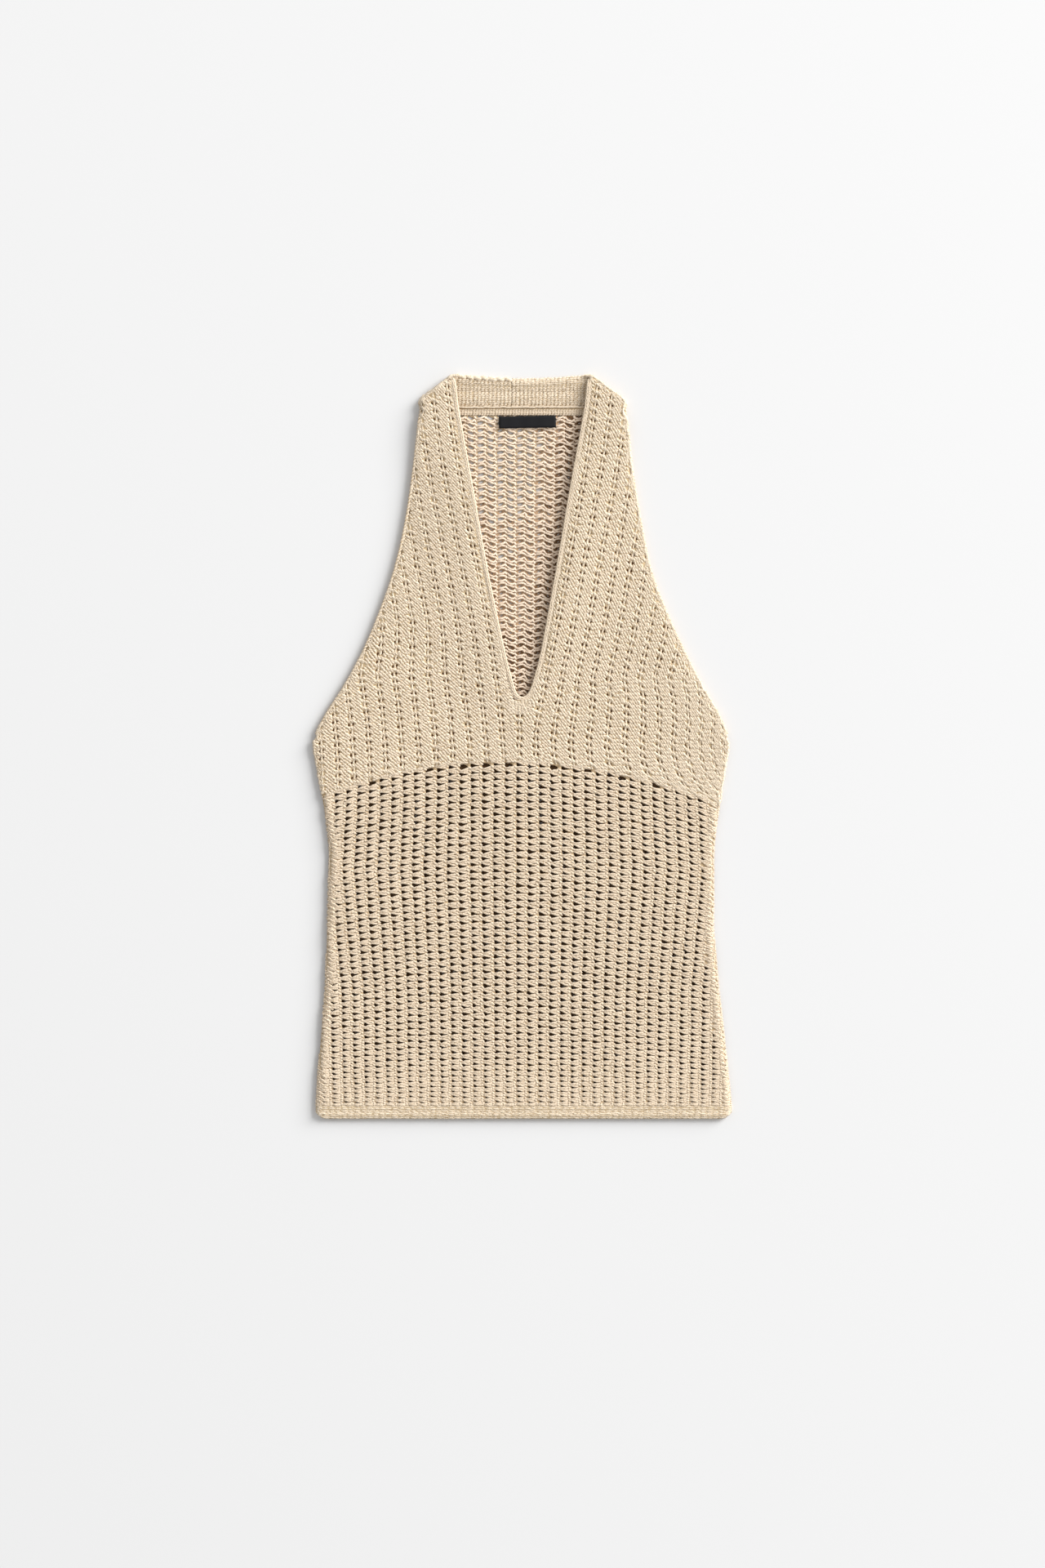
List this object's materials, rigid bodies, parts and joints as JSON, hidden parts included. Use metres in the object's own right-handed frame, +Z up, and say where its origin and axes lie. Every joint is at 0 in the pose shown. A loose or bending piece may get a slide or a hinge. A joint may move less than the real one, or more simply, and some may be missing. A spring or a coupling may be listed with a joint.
{
  "type": "crochet top",
  "caption": "Sleeveless halter-neck crochet top laid flat: deep V neckline, close-stitched yoke and straps, open-mesh body and back, neck band, hem and blank label.",
  "frame": {"origin": "on the ground under the middle of the top as it lies", "axes": "+Z up from the surface it lies on, +Y from the hem towards the neck, +X to the right of someone who looks down at its front"},
  "size_m": [0.3789, 0.6748, 0.0094],
  "materials": {
    "mesh_yarn": "matte sand cotton yarn in open crochet",
    "yoke_yarn": "matte sand cotton yarn in close crochet",
    "trim_yarn": "smooth sand cotton edging",
    "label_weave": "matte black woven tape, blank"
  },
  "bodies": {
    "root": {"back_body": "mesh_yarn", "front_body": "mesh_yarn", "front_yoke": "yoke_yarn", "neckline_trim": "trim_yarn", "armhole_trim_left": "trim_yarn", "armhole_trim_right": "trim_yarn", "hem_front": "mesh_yarn", "hem_back": "mesh_yarn", "neck_band_left": "yoke_yarn", "neck_band_right": "yoke_yarn", "back_neck_seam": "trim_yarn", "label": "label_weave"}
  },
  "joints": []
}
